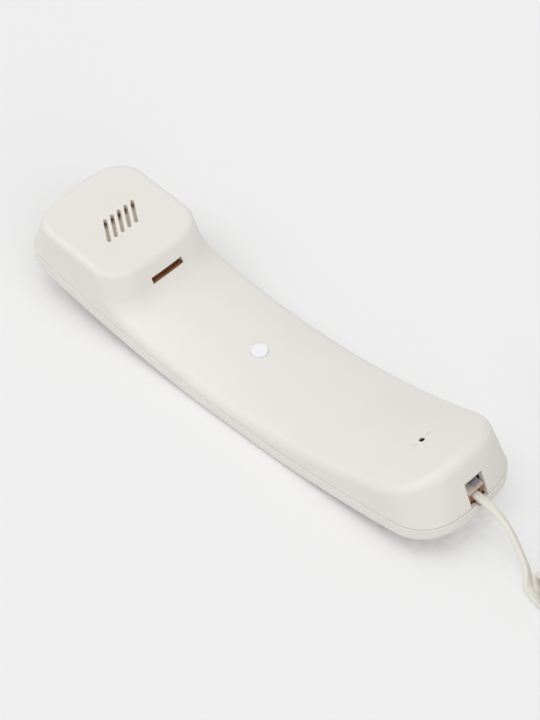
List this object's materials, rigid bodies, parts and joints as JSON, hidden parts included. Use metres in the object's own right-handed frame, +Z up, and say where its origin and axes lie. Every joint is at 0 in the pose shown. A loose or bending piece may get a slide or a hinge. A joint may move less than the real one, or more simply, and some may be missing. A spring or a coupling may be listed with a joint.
{
  "type": "corded telephone handset",
  "caption": "Slim corded telephone handset with a slotted receiver end, concave grip, round key, microphone hole and a modular jack with its curly cord and clear plugs.",
  "frame": {"origin": "under the middle of the closed handset, on the surface that it lies on", "axes": "+X from the ear end to the mouth end, +Z up out of the grip"},
  "size_m": [0.255, 0.1073, 0.0339],
  "materials": {
    "shell_plastic": "satin moulded ABS, warm white",
    "key_plastic": "satin moulded ABS, cool white",
    "phenolic": "brown phenolic paper board",
    "green_board": "lacquered epoxy board",
    "black_plastic": "moulded nylon",
    "clear_plastic": "clear moulded polycarbonate",
    "cord_jacket": "soft vinyl jacket, warm white",
    "wire_jacket": "vinyl insulation",
    "gold_contact": "gold-plated phosphor bronze",
    "steel": "zinc-plated steel",
    "magnet_steel": "nickel-plated magnet",
    "capsule_can": "drawn aluminium can",
    "copper_wire": "enamelled copper winding",
    "rubber_black": "soft rubber",
    "dark_felt": "acoustic cloth",
    "cone_film": "thin polyester film"
  },
  "bodies": {
    "root": {"front_shell": "shell_plastic", "back_shell": "shell_plastic", "hook_board": "phenolic", "switch_board": "green_board", "switch_board_screws": "steel", "switch_case": "black_plastic", "dust_cloth": "dark_felt", "receiver_gasket": "rubber_black", "receiver_cover": "black_plastic", "receiver_basket": "black_plastic", "receiver_yoke": "steel", "receiver_magnet": "magnet_steel", "pole_plate": "steel", "receiver_clamp": "black_plastic", "receiver_clamp_screws": "steel", "terminal_board": "phenolic", "terminal_tags": "gold_contact", "mic_boot": "rubber_black", "mic_felt": "dark_felt", "mic_capsule": "capsule_can", "ballast_bar": "steel", "ballast_screws": "steel", "jack_board": "phenolic", "jack_board_screws": "steel", "jack_housing": "black_plastic", "jack_contacts": "gold_contact", "board_parts": "black_plastic", "near_plug_body": "clear_plastic", "near_plug_blades": "gold_contact", "far_plug_body": "clear_plastic", "far_plug_blades": "gold_contact", "cord_near_end": "cord_jacket", "cord_curls": "cord_jacket", "cord_far_end": "cord_jacket", "receiver_leads": "wire_jacket", "mute_leads": "wire_jacket", "mic_leads": "wire_jacket"},
    "mute_key": {"mute_button": "key_plastic", "switch_stem": "black_plastic"},
    "cone": {"receiver_cone": "cone_film", "voice_coil": "copper_wire"},
    "near_latch": {"near_plug_latch": "clear_plastic"},
    "far_latch": {"far_plug_latch": "clear_plastic"}
  },
  "joints": [
    {"name": "mute_press", "type": "slide", "parent": "root", "child": "mute_key", "axis": [0, 0, -1], "range_m": [0, 0.0006], "stiffness_N_per_m": 800},
    {"name": "cone_travel", "type": "slide", "parent": "root", "child": "cone", "axis": [0.1005, 0, 0.9949], "range_m": [-0.00025, 0.00025], "stiffness_N_per_m": 600},
    {"name": "near_latch_press", "type": "hinge", "parent": "root", "child": "near_latch", "pos_m": [0.0898, 0, 0.02095], "axis": [0, 1, 0], "range_deg": [0, 6], "stiffness_Nm_per_rad": 0.02},
    {"name": "far_latch_press", "type": "hinge", "parent": "root", "child": "far_latch", "pos_m": [0.12741, 0.02789, 0.0071], "axis": [-0.8265, -0.563, 0], "range_deg": [0, 6], "stiffness_Nm_per_rad": 0.02}
  ]
}
